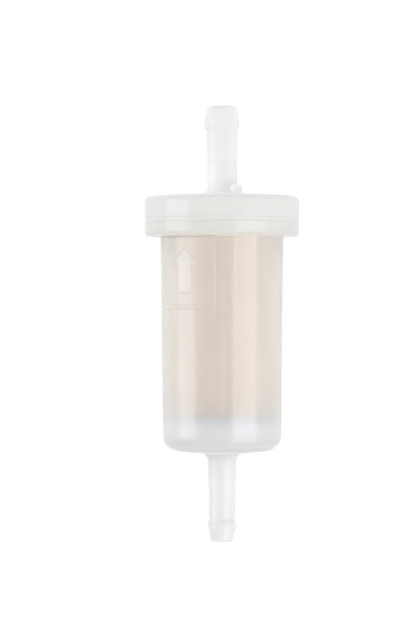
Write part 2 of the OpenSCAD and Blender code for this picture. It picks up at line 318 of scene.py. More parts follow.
def depth_inside(x, y, outline):
    """How far a point is inside a closed outline, negative outside it."""
    nearest, inside = math.inf, False
    for (ax, ay), (bx, by) in zip(outline, outline[1:] + outline[:1]):
        dx, dy = bx - ax, by - ay
        t = min(1.0, max(0.0, ((x - ax) * dx + (y - ay) * dy) / (dx * dx + dy * dy)))
        nearest = min(nearest, math.hypot(x - ax - t * dx, y - ay - t * dy))
        if (ay > y) != (by > y) and x < ax + (y - ay) / dy * dx:
            inside = not inside
    return nearest if inside else -nearest


def relief(r, z, angle):
    """The bowl's radius with the low pad and the raised arrow on its wall."""
    if r < wall_r(z) - SKIN_DEPTH or z < BELOW_PAD_Z or z > UNDER_COLLAR_Z:
        return r
    turn = angle - front_angle(ARROW_ANGLE)
    turn = math.atan2(math.sin(turn), math.cos(turn))
    side = (math.radians(PAD_SPAN / 2) - abs(turn)) * BOWL_R
    up = z - (COLLAR_Z - PAD_L)
    edge = min(side, up)
    height = PAD_H * smooth(-PAD_EDGE, PAD_EDGE, edge)
    height += RIDGE_H * math.exp(-((edge / RIDGE_W) ** 2))
    if side > 0:
        height -= GROOVE_D * math.exp(-(((up - GROOVE_UP) / GROOVE_W) ** 2)) * smooth(0, GROOVE_FADE, side)
        arrow = depth_inside(r * math.sin(turn), z - ARROW_TIP_Z, ARROW)
        height += RELIEF_H * smooth(-ARROW_EDGE, ARROW_EDGE, arrow)
    return r + height


def bowl_angles(past=1.2):
    """Columns that are close together across the arrow's pad and some degrees past it."""
    reach = math.radians(PAD_SPAN / 2 + past)
    centre = front_angle(ARROW_ANGLE)
    across = [centre - reach + 2 * reach * k / PAD_COLUMNS for k in range(PAD_COLUMNS)]
    rest = 2 * math.pi - 2 * reach
    return across + [centre + reach + rest * k / PLAIN_COLUMNS for k in range(PLAIN_COLUMNS)]


def bowl_spacing(p):
    """Rows are close together where the outer wall carries the pad."""
    outer = p.x > wall_r(p.y) - SKIN_DEPTH and BELOW_PAD_Z < p.y < COLLAR_Z
    return PAD_ROWS if outer else 2.0


base_r = wall_r(underside_z(BOWL_R))
bore_r = base_r - WALL_T
bowl = lathe("bowl_shell", [
    (INLET_BORE_R, 0, MOUTH_EDGE_R),
    (INLET_TIP_R, 0, INLET_TIP_EDGE_R),
    (INLET_BARB_R, INLET_CREST_Z - BARB_LAND / 2, BARB_FRONT_R),
    (INLET_BARB_R, INLET_CREST_Z + BARB_LAND / 2, BARB_BACK_R),
    (INLET_NECK_R, INLET_CREST_Z + BARB_LAND / 2 + BARB_SLOPE_L, NECK_EDGE_R),
    (INLET_ROOT_R, underside_z(INLET_ROOT_R), INLET_FILLET_R),
    (base_r, underside_z(base_r), BOWL_CORNER_R),
    (wall_r(BELOW_PAD_Z), BELOW_PAD_Z, 0),
    (BOWL_R, COLLAR_Z, COLLAR_ROOT_R),
    (COLLAR_R, COLLAR_Z, LOWER_EDGE_R),
    (COLLAR_R, FLANGE_TOP, WELD_EDGE_R),
    (TONGUE_OUT, FLANGE_TOP, 0),
    (TONGUE_OUT - TONGUE_DRAFT, FLANGE_TOP + TONGUE_H, TONGUE_EDGE_R),
    (TONGUE_IN + TONGUE_DRAFT, FLANGE_TOP + TONGUE_H, TONGUE_EDGE_R),
    (TONGUE_IN, FLANGE_TOP, 0),
    (LIP_R, FLANGE_TOP, LIP_EDGE_R),
    (BOWL_R - WALL_T, COLLAR_Z, 0),
    (bore_r, underside_z(bore_r) + FLOOR_T, BOWL_CORNER_R - WALL_T),
    (INLET_BORE_R, underside_z(INLET_BORE_R) + FLOOR_T, FLOOR_EDGE_R),
], angles=bowl_angles(), spacing=bowl_spacing, tweak=relief)

# ---- the cap ----

CAP_TOP_Z = SHOULDER_Z + (COLLAR_R - OUTLET_NECK_R) * CAP_SLOPE
cap = lathe("cap_shell", [
    (OUTLET_BORE_R, CEILING_Z - SPIGOT_L, MOUTH_EDGE_R),
    (SPIGOT_R, CEILING_Z - SPIGOT_L, SPIGOT_EDGE_R),
    (SPIGOT_R, CEILING_Z, SPIGOT_EDGE_R),
    (LIP_R, CEILING_Z, CEILING_CORNER_R),
    (LIP_R, CAP_Z, LIP_EDGE_R),
    (TONGUE_IN - WELD_GAP, CAP_Z, 0),
    (TONGUE_IN - WELD_GAP, CAP_Z + TONGUE_H - WELD_GAP, GROOVE_CORNER_R),
    (TONGUE_OUT + WELD_GAP, CAP_Z + TONGUE_H - WELD_GAP, GROOVE_CORNER_R),
    (TONGUE_OUT + WELD_GAP, CAP_Z, 0),
    (COLLAR_R, CAP_Z, WELD_EDGE_R),
    (COLLAR_R, SHOULDER_Z, SHOULDER_R),
    (OUTLET_NECK_R, CAP_TOP_Z, OUTLET_FILLET_R),
    (OUTLET_NECK_R, OUTLET_CREST_Z - BARB_LAND / 2 - BARB_SLOPE_L, NECK_EDGE_R),
    (OUTLET_BARB_R, OUTLET_CREST_Z - BARB_LAND / 2, BARB_BACK_R),
    (OUTLET_BARB_R, OUTLET_CREST_Z + BARB_LAND / 2, BARB_FRONT_R),
    (OUTLET_TIP_R, LENGTH, OUTLET_TIP_EDGE_R),
    (OUTLET_BORE_R, LENGTH, OUTLET_MOUTH_EDGE_R),
])


def gate_stub():
    """The short stub that the mould's gate left beside the outlet nozzle."""
    stub = lathe("gate_stub", [
        (0, GATE_FOOT_Z, 0),
        (GATE_R, GATE_FOOT_Z, 0),
        (GATE_R, GATE_TOP_Z, GATE_EDGE_R),
        (0, GATE_TOP_Z, 0),
    ], angles=even_angles(GATE_COLUMNS), spacing=lambda p: 0.5)
    stub.data.transform(Matrix.Translation((GATE_REACH * MM, 0, 0)))
    stub.data.transform(Matrix.Rotation(front_angle(GATE_ANGLE), 4, "Z"))
    return stub


def gate_web():
    """The web that joins the stub to the nozzle, sunk into both."""
    low, high = (WEB_IN, -GATE_R, GATE_FOOT_Z), (GATE_REACH, GATE_R, GATE_TOP_Z - WEB_DROP)
    web = block("gate_web", low, high, WEB_EDGE_R)
    web.data.transform(Matrix.Rotation(front_angle(GATE_ANGLE), 4, "Z"))
    return web


merge(cap, gate_web())
merge(cap, gate_stub())

# ---- the weld between them ----

FLASH_REACH = 0.2  # the part of the ring this close to the collar's outside is the bead
SWELL, SWELL_WAVES, SWELL_UP = 0.014, 3, 0.3
RIPPLE, RIPPLE_WAVES = 0.008, 5


def flash(r, z, angle):
    """The bead's radius: the set melt isn't quite even round the collar."""
    if r < COLLAR_R - FLASH_REACH:
        return r
    around = Vector((math.cos(angle), math.sin(angle), z * SWELL_UP)) * SWELL_WAVES
    return r + SWELL * noise.noise(around) + RIPPLE * noise.noise(around * RIPPLE_WAVES)


weld = lathe("weld_bead", [
    (LIP_R + WELD_INSET, FLANGE_TOP, 0),
    (TONGUE_IN, FLANGE_TOP, 0),
    (TONGUE_IN + TONGUE_DRAFT, FLANGE_TOP + TONGUE_H, TONGUE_EDGE_R),
    (TONGUE_OUT - TONGUE_DRAFT, FLANGE_TOP + TONGUE_H, TONGUE_EDGE_R),
    (TONGUE_OUT, FLANGE_TOP, 0),
    (COLLAR_R - WELD_INSET, FLANGE_TOP, BEAD_EDGE_R),
    (COLLAR_R - WELD_INSET, CAP_Z, BEAD_EDGE_R),
    (TONGUE_OUT + WELD_GAP, CAP_Z, 0),
    (TONGUE_OUT + WELD_GAP, CAP_Z + TONGUE_H - WELD_GAP, GROOVE_CORNER_R),
    (TONGUE_IN - WELD_GAP, CAP_Z + TONGUE_H - WELD_GAP, GROOVE_CORNER_R),
    (TONGUE_IN - WELD_GAP, CAP_Z, 0),
    (LIP_R + WELD_INSET, CAP_Z, 0),
], tweak=flash)

# ---- the filter element ----

OUTER_FOLD_R, INNER_FOLD_R = 0.52, 0.31  # of the middle of the paper
BACK = math.radians(90)  # the seam is at the back
PAPER_SHARP, CAGE_SHARP = 60, 30  # as SHARP, for these two meshes
LEAN, LEAN_ROUND, LEAN_UP = 0.22, 4, 0.05  # of the pleats, in mm, and how quickly it changes
SLACK, SLACK_ACROSS, SLACK_UP, SLACK_START = 0.012, 0.3, 0.08, 9  # a share of the radius, likewise


def fold_path():
    """The middle line of the folded paper, from end to end at the seam: (point, normal) pairs."""
    points = []
    half = PAPER_T / 2
    crest, valley = MEDIA_R - half - OUTER_FOLD_R, MEDIA_BORE_R + half + INNER_FOLD_R
    pitch = 2 * math.pi / PLEATS

    def fold(centre_r, angle, radius, way, first=0, last=FOLD_STEPS):
        out = Vector((math.cos(angle), math.sin(angle)))
        along = Vector((-math.sin(angle), math.cos(angle)))
        for k in range(first, last + 1):
            a = math.pi * (k / FOLD_STEPS - 0.5)
            spoke = out * math.cos(a) * way + along * math.sin(a)
            points.append((out * centre_r + spoke * radius, spoke * way))

    for i in range(PLEATS + 1):
        angle = BACK + i * pitch
        first = FOLD_STEPS if i == 0 else 0
        last = 0 if i == PLEATS else FOLD_STEPS
        fold(crest, angle, OUTER_FOLD_R, 1, first, last)
        if i < PLEATS:
            fold(valley, angle + pitch / 2, INNER_FOLD_R, -1)
    return points


def sway(x, y, z):
    """Where a point of a pleat really is: pleats lean a little between the ends, which adhesive holds."""
    free = math.sin(math.pi * (z - MEDIA_Z) / (MEDIA_TOP - MEDIA_Z))
    angle, r = math.atan2(y, x), math.hypot(x, y)
    side = noise.noise(Vector((math.cos(angle) * LEAN_ROUND, math.sin(angle) * LEAN_ROUND, z * LEAN_UP)))
    turn = LEAN * free * side * (r - MEDIA_BORE_R) / (MEDIA_R - MEDIA_BORE_R) / r
    drawn = noise.noise(Vector((x * SLACK_ACROSS, y * SLACK_ACROSS, z * SLACK_UP + SLACK_START)))
    out = 1 - SLACK * free * abs(drawn)
    c, s = math.cos(turn), math.sin(turn)
    return (x * c - y * s) * out, (x * s + y * c) * out


def swayed_rows(ring):
    """A closed ring of (x, y) points at every row of the element, swaying with the pleats."""
    vertices = []
    for k in range(ELEMENT_ROWS + 1):
        z = MEDIA_Z + (MEDIA_TOP - MEDIA_Z) * k / ELEMENT_ROWS
        vertices += [(*sway(x, y, z), z) for x, y in ring]
    return vertices


def paper():
    """The pleated paper as one closed sheet of its real thickness."""
    path, half = fold_path(), PAPER_T / 2
    loop = [p + n * half for p, n in path] + [p - n * half for p, n in reversed(path)]
    count = len(loop)
    faces = wall_faces(count, ELEMENT_ROWS)
    for i in range(count // 2 - 1):  # the two cut edges, as strips across the paper
        a, b, c, d = i, count - 1 - i, count - 2 - i, i + 1
        faces.append((a, b, c, d))
        faces.append(tuple(ELEMENT_ROWS * count + v for v in (a, d, c, b)))
    return mesh_object("paper_pleats", swayed_rows(loop), faces, sharp=PAPER_SHARP)


media = paper()


def bond(name, z, up, dish=0.12, dish_r=9):
    """A ring of set adhesive; its free face, up or down, is dished from the rim to the core."""
    low, high = z, z + BOND_T
    inner, outer = CORE_R, PLATE_R - RIM_T
    middle = (inner + outer) / 2
    if up:
        top = [(outer, high, 0), (middle, high - dish, dish_r), (inner, high, 0)]
        outline = [(inner, low, 0), (outer, low, 0)] + top
    else:
        bottom = [(inner, low, 0), (middle, low + dish, dish_r), (outer, low, 0)]
        outline = bottom + [(outer, high, 0), (inner, high, 0)]
    return lathe(name, outline, spacing=lambda p: 0.8)


outlet_bond = bond("outlet_potting", MEDIA_TOP, up=False)
closed_bond = bond("closed_end_potting", ELEMENT_Z + PLATE_T, up=True)


def cage_heights():
    """The heights of the core tube's rows, and which of the rows have windows."""
    bottom, top = ELEMENT_Z + PLATE_T, OUTLET_PLATE_Z
    step = (top - bottom - 2 * BOND_T - BAR_H) / WINDOW_ROWS
    heights, window_rows = [bottom, bottom + BOND_T], set()
    for k in range(WINDOW_ROWS):
        z = bottom + BOND_T + BAR_H + k * step
        window_rows.add(len(heights))
        heights += [z, z + step - BAR_H]
    return heights + [top - BOND_T, top], window_rows


def cage_angles():
    """The angles of the core tube's columns, and which of the columns have windows."""
    half = math.asin(WINDOW_W / 2 / CORE_R)
    bar_width = 2 * math.pi / WINDOWS_ROUND - 2 * half
    angles, window_columns = [], set()
    for i in range(WINDOWS_ROUND):
        middle = 2 * math.pi * i / WINDOWS_ROUND
        window_columns.update(range(len(angles), len(angles) + COLUMNS_PER_BAR))
        for start, width in ((middle - half, 2 * half), (middle + half, bar_width)):
            angles += [start + width * k / COLUMNS_PER_BAR for k in range(COLUMNS_PER_BAR)]
    return angles, window_columns


def cage():
    """The core tube: a grid of bars between two rings, with softened edges."""
    heights, window_rows = cage_heights()
    angles, window_columns = cage_angles()
    columns, vertices, faces = len(angles), [], []
    for r in (CORE_R, CORE_R - CORE_T):
        for z in heights:
            vertices += [(r * math.cos(a), r * math.sin(a), z) for a in angles]
    inside = len(heights) * columns

    def is_open(j, k):
        return j in window_rows and k % columns in window_columns

    def reveal(a, b):
        faces.append((a, b, b + inside, a + inside))

    for j in range(len(heights) - 1):
        for k in range(columns):
            if is_open(j, k):
                continue
            n = (k + 1) % columns
            a, b, c, d = j * columns + k, j * columns + n, (j + 1) * columns + n, (j + 1) * columns + k
            faces.append((a, b, c, d))
            faces.append((a + inside, d + inside, c + inside, b + inside))
            if is_open(j, k + 1):
                reveal(c, b)
            if is_open(j, k - 1):
                reveal(a, d)
            if is_open(j + 1, k):
                reveal(d, c)
            if is_open(j - 1, k):
                reveal(b, a)
    top_row = (len(heights) - 1) * columns
    for k in range(columns):
        n = (k + 1) % columns
        reveal(n, k)
        reveal(top_row + k, top_row + n)
    tube = mesh_object("core_cage", vertices, faces, sharp=CAGE_SHARP)
    edge = tube.modifiers.new("soft edges", "BEVEL")
    edge.width = CORE_EDGE_R * MM
    edge.segments = 2
    edge.limit_method = "ANGLE"
    edge.angle_limit = math.radians(40)
    return tube


core = cage()


def seam(bevel=0.1, bulge=0.12, bulge_from=0.25, bulge_to=0.08):
    """The bead of adhesive between the paper's two ends, squeezed out where it reaches the surface."""
    inner, half = MEDIA_R - SEAM_DEPTH, SEAM_W / 2
    side = [
        (inner, half - bevel),
        (inner + bevel, half),
        (MEDIA_R - bulge_from, half),
        (MEDIA_R - bulge_to, half + bulge),
        (MEDIA_R, half / 2),
    ]
    outline = [(out, -across) for out, across in side] + side[::-1]
    c, s = math.cos(BACK), math.sin(BACK)
    ring = [(out * c - across * s, out * s + across * c) for out, across in outline]
    count = len(ring)
    faces = wall_faces(count, ELEMENT_ROWS)
    faces.append(tuple(reversed(range(count))))
    faces.append(tuple(ELEMENT_ROWS * count + i for i in range(count)))
    return mesh_object("seam_bead", swayed_rows(ring), faces)


seam_bead = seam()

outlet_plate = lathe("open_end_plate", [
    (SPIGOT_R + SPIGOT_GAP, OUTLET_PLATE_Z, HOLE_EDGE_R),
    (PLATE_R - RIM_T, OUTLET_PLATE_Z, 0),
    (PLATE_R - RIM_T, OUTLET_PLATE_Z - RIM_H, RIM_INNER_R),
    (PLATE_R, OUTLET_PLATE_Z - RIM_H, RIM_EDGE_R),
    (PLATE_R, OUTLET_PLATE_Z + PLATE_T, PLATE_EDGE_R),
    (SEAL_R + SOCKET_WALL, OUTLET_PLATE_Z + PLATE_T, SOCKET_EDGE_R),
    (SEAL_R + SOCKET_WALL, OUTLET_PLATE_Z + PLATE_T + SOCKET_H, SOCKET_EDGE_R),
    (SEAL_R, OUTLET_PLATE_Z + PLATE_T + SOCKET_H, SOCKET_MOUTH_R),
    (SEAL_R, SEAL_Z, 0),
    (SPIGOT_R + SPIGOT_GAP, SEAL_Z, HOLE_EDGE_R),
])

closed_plate = lathe("blind_end_plate", [
    (0, ELEMENT_Z, 0),
    (PLATE_R, ELEMENT_Z, PLATE_EDGE_R),
    (PLATE_R, ELEMENT_Z + PLATE_T + RIM_H, RIM_EDGE_R),
    (PLATE_R - RIM_T, ELEMENT_Z + PLATE_T + RIM_H, RIM_INNER_R),
    (PLATE_R - RIM_T, ELEMENT_Z + PLATE_T, 0),
    (0, ELEMENT_Z + PLATE_T, 0),
])


def foot(turn):
    """One of the feet that hold the element up off the bowl's floor, with rounded edges."""
    low = (FOOT_OUT - FOOT_REACH, -FOOT_W / 2, underside_z(FOOT_OUT) + FLOOR_T + FOOT_GAP)
    high = (FOOT_OUT, FOOT_W / 2, ELEMENT_Z + PLATE_T / 2)
    leg = block("foot", low, high, FOOT_EDGE_R)
    leg.data.transform(Matrix.Rotation(turn, 4, "Z"))
    return leg


for i in range(FEET):
    merge(closed_plate, foot(math.radians((i + 0.5) * 360 / FEET)))

seal = lathe("seal_ring", [
    (SPIGOT_R, SEAL_Z, SEAL_LOW_R),
    (SEAL_R, SEAL_Z, SEAL_LOW_R),
    (SEAL_R, SEAL_Z + SEAL_H, SEAL_TOP_R),
    (SPIGOT_R, SEAL_Z + SEAL_H, SEAL_TOP_R),
], spacing=lambda p: 0.3)

# ---- material tools ----

NOISE_LOW, NOISE_HIGH = 0.3, 0.7  # most of a noise's values lie between these


def material(name, roughness, **sockets):
    """A material with one Principled shader; sockets gives plain values by socket name, _ for a space."""
    mat = bpy.data.materials.new(name)
    mat.use_nodes = True
    shader = mat.node_tree.nodes["Principled BSDF"]
    shader.inputs["Roughness"].default_value = roughness
    for key, value in sockets.items():
        shader.inputs[key.replace("_", " ")].default_value = value
    return mat


def add(mat, kind, **settings):
    node = mat.node_tree.nodes.new(kind)
    for key, value in settings.items():
        setattr(node, key, value)
    return node


def place(mat, scale=(1, 1, 1)):
    """Object coordinates, in millimetres times scale."""
    coords = add(mat, "ShaderNodeTexCoord")
    mapping = add(mat, "ShaderNodeMapping")
    mapping.inputs["Scale"].default_value = [s / MM for s in scale]
    mat.node_tree.links.new(coords.outputs["Object"], mapping.inputs["Vector"])
    return mapping.outputs["Vector"]


def noise_of(mat, size, detail=2.0, scale=(1, 1, 1)):
    """Noise whose features are about size mm across."""
    node = add(mat, "ShaderNodeTexNoise")
    node.inputs["Scale"].default_value = 1 / size
    node.inputs["Detail"].default_value = detail
    mat.node_tree.links.new(place(mat, scale), node.inputs["Vector"])
    return node.outputs["Fac"]


def grey(value):
    return (value, value, value)


def ramp(mat, fac, stops):
    """A colour that follows fac through (value of fac, colour) stops."""
    node = add(mat, "ShaderNodeValToRGB")
    elements = node.color_ramp.elements
    while len(elements) < len(stops):
        elements.new(0.5)
    for element, (at, color) in zip(elements, stops):
        element.position = at
        element.color = (*color, 1)
    mat.node_tree.links.new(fac, node.inputs["Fac"])
    return node.outputs["Color"]


def patches(mat, fac, low, high):
    """Two colours that blend in the patches of a noise."""
    return ramp(mat, fac, [(NOISE_LOW, low), (NOISE_HIGH, high)])


def drive(mat, socket, output):
    mat.node_tree.links.new(output, mat.node_tree.nodes["Principled BSDF"].inputs[socket])


def bump(mat, *heights):
    """Bumps from (height, depth in mm) pairs."""
    normal = None
    for height, depth in heights:
        node = add(mat, "ShaderNodeBump")
        node.inputs["Strength"].default_value = 1.0
        node.inputs["Distance"].default_value = depth * MM
        mat.node_tree.links.new(height, node.inputs["Height"])
        if normal:
            mat.node_tree.links.new(normal, node.inputs["Normal"])
        normal = node.outputs["Normal"]
    drive(mat, "Normal", normal)


def by_height(mat, stops):
    """A colour or share that follows the height: (height, colour) stops."""
    heights = add(mat, "ShaderNodeSeparateXYZ")
    mat.node_tree.links.new(place(mat, (1 / LENGTH,) * 3), heights.inputs[0])
    lift = add(mat, "ShaderNodeMath", operation="SUBTRACT")
    lift.inputs[1].default_value = TIP_Z / MM / LENGTH
    mat.node_tree.links.new(heights.outputs["Z"], lift.inputs[0])
    return ramp(mat, lift.outputs[0], [(z / LENGTH, color) for z, color in stops])


def tinted(mat, color, other):
    """Two colours multiplied."""
    node = add(mat, "ShaderNodeMix", data_type="RGBA", blend_type="MULTIPLY")
    node.inputs["Factor"].default_value = 1.0
    mat.node_tree.links.new(color, node.inputs["A"])
    mat.node_tree.links.new(other, node.inputs["B"])
    return node.outputs["Result"]


def mottled(mat, value, size, least):
    """A colour, or a list of (height, colour) stops, down to the share least of it in soft patches."""
    fac = noise_of(mat, size, detail=3)
    if isinstance(value, list):
        return tinted(mat, by_height(mat, value), patches(mat, fac, grey(least), grey(1.0)))
    return patches(mat, fac, [least * c for c in value], value)


# ---- the nylon ----

SKIN = {"IOR": 1.53, "Coat_Roughness": 0.02, "Coat_IOR": 1.5, "Sheen_Weight": 0.3, "Sheen_Roughness": 0.4}
BOWL_GLOSS, CAP_GLOSS = 0.66, 0.55
THICK, THIN = 0.3, 0.7  # the share of light that passes the mouldings, by their thickness
ARROW_CLARITY, GATE_CLARITY, INSIDE_CLARITY = 0.65, 0.1, 1.0
MOTTLE_SIZE, MOTTLE_LEAST = 9, 0.97  # soft patches in the colour
CLOUD_SIZE, CLOUD_LEAST = 4, 0.93  # soft patches in the roughness
SINK_SIZE, SINK_STRETCH, SINK_DEPTH = 14, (1, 1, 0.35), 0.10  # where the moulding has shrunk unevenly
GRAIN_SIZE, GRAIN_DEPTH = 0.5, 0.0015
CLOUDY = 0.88  # roughness of the nylon away from the bowl's thin wall
WALL_CLOUD = [  # the wall is clearest at the element's lower end
    (BASE_Z, grey(CLOUDY)),
    (ELEMENT_Z - 0.5, grey(0.47)),
    (ELEMENT_Z + 3, grey(0.47)),
    (ELEMENT_Z + 7, grey(0.62)),
    (COLLAR_Z - 4, grey(0.62)),
    (COLLAR_Z, grey(CLOUDY)),
]
WALL_CLARITY = [
    (BASE_Z + 2.5, grey(THICK)),
    (ELEMENT_Z - 1, grey(0.5)),
    (ELEMENT_Z + 2, grey(THIN)),
    (COLLAR_Z - 5, grey(THIN)),
    (COLLAR_Z - 1.5, grey(0.66)),
    (COLLAR_Z, grey(0.5)),
    (COLLAR_Z + 0.5, grey(THICK)),
]
# Painted light and shade by height: the underside and the bowl's lower corner are painted darker. The wall
# just under the collar and the collar's lower edge are painted lighter against the collar's shadow.
UNDERSIDE_PAINTED_SHADE, CORNER_PAINTED_SHADE = grey(0.60), (0.655, 0.65, 0.64)
UNDER_PAPER, OVER_PAPER = (0.935, 0.93, 0.92), (0.955, 0.925, 0.88)
BOWL_COLORS_AND_PAINTED_SHADING = [
    (4, grey(0.73)),
    (12, grey(0.79)),
    (BASE_Z - 2, grey(0.79)),
    (BASE_Z - 0.7, grey(0.735)),
    (BASE_Z - 0.4, grey(0.735)),
    (BASE_Z, UNDERSIDE_PAINTED_SHADE),
    (BASE_Z + 0.8, UNDERSIDE_PAINTED_SHADE),
    (BASE_Z + 1.6, CORNER_PAINTED_SHADE),
    (BASE_Z + 3, CORNER_PAINTED_SHADE),
    (ELEMENT_Z - 1.5, (0.82, 0.815, 0.805)),
    (ELEMENT_Z + 0.3, UNDER_PAPER),
    (ELEMENT_Z + 1, UNDER_PAPER),
    (ELEMENT_Z + 5, OVER_PAPER),
    (COLLAR_Z - 5, OVER_PAPER),
    (COLLAR_Z - 1, (0.97, 0.935, 0.88)),
    (COLLAR_Z + 0.1, (0.89, 0.855, 0.79)),
    (COLLAR_Z + 0.6, (0.69, 0.68, 0.655)),
    (COLLAR_Z + 1.4, (0.715, 0.71, 0.69)),
]
# Painted light and shade by height: the shoulder's corner is painted lighter where its upward face falls
# dark, and the outlet nozzle is painted darker towards its tip and lighter near the shoulder.
CAP_COLORS_AND_PAINTED_SHADING = [
    (SHOULDER_Z - 0.7, (0.755, 0.75, 0.73)),
    (SHOULDER_Z - 0.1, (0.84, 0.84, 0.825)),
    (SHOULDER_Z + 0.8, (0.945, 0.945, 0.93)),
    (SHOULDER_Z + 4.2, grey(0.925)),
    (SHOULDER_Z + 7.5, grey(0.86)),
    (LENGTH - 8, grey(0.81)),
    (LENGTH - 3, grey(0.79)),
]
# The gate stub's colour, with its low clarity, is painted light: a lighter copy of the cap's nylon that lifts
# the shade in the crease beside the nozzle.
ARROW_COLOR, GATE_PAINTED_LIGHT_COLOR, WELD_COLOR = (0.91, 0.91, 0.89), (0.86, 0.86, 0.85), (0.775, 0.77, 0.755)


def nylon(name, colors, clarity, gloss, cloud=grey(CLOUDY)):
    """Milky nylon under a smooth moulded skin, through which a share of the light passes, the clarity."""
    mat = material(name, CLOUDY, Transmission_Weight=clarity, Coat_Weight=gloss, **SKIN)
    drive(mat, "Base Color", mottled(mat, colors, MOTTLE_SIZE, MOTTLE_LEAST))
    drive(mat, "Roughness", mottled(mat, cloud, CLOUD_SIZE, CLOUD_LEAST))
    sink = noise_of(mat, SINK_SIZE, detail=1, scale=SINK_STRETCH)
    bump(mat, (sink, SINK_DEPTH), (noise_of(mat, GRAIN_SIZE), GRAIN_DEPTH))
    return mat


BOWL_SKIN = nylon("milky nylon", BOWL_COLORS_AND_PAINTED_SHADING, THIN, BOWL_GLOSS, WALL_CLOUD)
drive(BOWL_SKIN, "Transmission Weight", by_height(BOWL_SKIN, WALL_CLARITY))
BOWL_INSIDE = nylon("nylon inner face", BOWL_COLORS_AND_PAINTED_SHADING, INSIDE_CLARITY, BOWL_GLOSS, WALL_CLOUD)
ARROW_SKIN = nylon("milky nylon arrow", ARROW_COLOR, ARROW_CLARITY, BOWL_GLOSS, WALL_CLOUD)
CAP_SKIN = nylon("milky nylon cap", CAP_COLORS_AND_PAINTED_SHADING, THICK, CAP_GLOSS)
# A lighter copy of the cap's nylon for the gate stub: painted light.
GATE = nylon("milky nylon gate painted lighter", GATE_PAINTED_LIGHT_COLOR, GATE_CLARITY, CAP_GLOSS)
WELD = nylon("set nylon", WELD_COLOR, THICK, CAP_GLOSS)

# ---- the element's materials ----

PAPER_DARK, PAPER_LIGHT = (0.73, 0.53, 0.38), (0.81, 0.62, 0.465)
STREAK_DARK, STREAK_LIGHT = (0.84, 0.83, 0.82), grey(1.04)
PAPER_PAINTED_SHADING = [  # painted light and shade: the paper is painted lighter near the collar, against the collar's shadow, and a little darker at its lower end
    (ELEMENT_Z, grey(0.94)),
    (COLLAR_Z - 12, grey(1.0)),
    (COLLAR_Z - 3, grey(1.08)),
    (COLLAR_Z, grey(1.22)),
]


def paper_material():
    """Resin-treated paper: short fibres, faint streaks along the pleats and a fine crepe."""
    mat = material("filter paper", 0.9, Specular_IOR_Level=0.2)
    short = noise_of(mat, 0.35, detail=5, scale=(1, 1, 0.5))
    along = noise_of(mat, 2.5, scale=(1, 1, 0.03))
    fibres = patches(mat, short, PAPER_DARK, PAPER_LIGHT)
    streaks = ramp(mat, along, [(0.4, STREAK_DARK), (0.6, STREAK_LIGHT)])
    # The fibres and streaks are multiplied by the painted light and shade by height.
    drive(mat, "Base Color", tinted(mat, tinted(mat, fibres, streaks), by_height(mat, PAPER_PAINTED_SHADING)))
    crepe = noise_of(mat, 0.25, detail=4, scale=(1, 1, 2.5))
    bump(mat, (crepe, 0.03), (noise_of(mat, 0.06, detail=3), 0.01))
    return mat


def plain(name, roughness, low, high, patch, grain, depth, detail=3):
    """Two close colours in patches, over a fine grain; the sizes and the grain's depth are in mm."""
    mat = material(name, roughness)
    drive(mat, "Base Color", patches(mat, noise_of(mat, patch, detail), low, high))
    bump(mat, (noise_of(mat, grain, detail=3), depth))
    return mat


PLATE_COLORS = (0.74, 0.70, 0.63), (0.79, 0.76, 0.70)
BLUE_GREY_COLORS = (0.41, 0.46, 0.60), (0.46, 0.51, 0.65)
ADHESIVE_COLORS = (0.58, 0.49, 0.31), (0.68, 0.60, 0.42)
RUBBER_COLORS = (0.018, 0.018, 0.02), (0.032, 0.032, 0.034)

PAPER = paper_material()
PLATE = plain("plate plastic", 0.5, *PLATE_COLORS, patch=3, grain=0.3, depth=0.006)
BLUE_GREY = plain("blue grey plastic", 0.5, *BLUE_GREY_COLORS, patch=2, grain=0.3, depth=0.006)
ADHESIVE = plain("set adhesive", 0.35, *ADHESIVE_COLORS, patch=1.5, grain=1.2, depth=0.05, detail=4)
RUBBER = plain("seal rubber", 0.6, *RUBBER_COLORS, patch=0.8, grain=0.15, depth=0.008, detail=4)

# ---- the pieces' looks and places in the frame ----

for piece, node, slot, mat in (
    (bowl, "bowl", "milky_nylon", BOWL_SKIN),
    (cap, "cap", "milky_nylon", CAP_SKIN),
    (weld, "weld_ring", "weld_nylon", WELD),
    (outlet_plate, "outlet_end_plate", "plate_plastic", PLATE),
    (outlet_bond, "outlet_end_adhesive", "set_adhesive", ADHESIVE),
    (media, "pleated_media", "filter_paper", PAPER),
    (seam_bead, "media_seam", "set_adhesive", ADHESIVE),
    (core, "core_tube", "plate_plastic", PLATE),
    (closed_bond, "closed_end_adhesive", "set_adhesive", ADHESIVE),
    (closed_plate, "closed_end_plate", "blue_grey_plastic", BLUE_GREY),
    (seal, "neck_seal", "seal_rubber", RUBBER),
):
    piece.data.materials.clear()
    piece.data.materials.append(mat)
    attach(piece, "root")
    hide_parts(node)

MARGIN = 0.1  # past an edge, where faces are picked by their place
GATE_MARGIN = 0.02  # past the stub's sides

# The gate stub's faces get the lighter copy of the nylon: painted light.
GATE_SPAN = CAP_TOP_Z, GATE_TOP_Z + MARGIN
cap.data.materials.append(GATE)
GATE_INDEX = 1
for face in cap.data.polygons:
    along, across, up = Matrix.Rotation(-front_angle(GATE_ANGLE), 3, "Z") @ face.center / MM
    beside = along > OUTLET_NECK_R and abs(across) < GATE_R + GATE_MARGIN
    if beside and GATE_SPAN[0] < up - TIP_Z / MM < GATE_SPAN[1]:
        face.material_index = GATE_INDEX

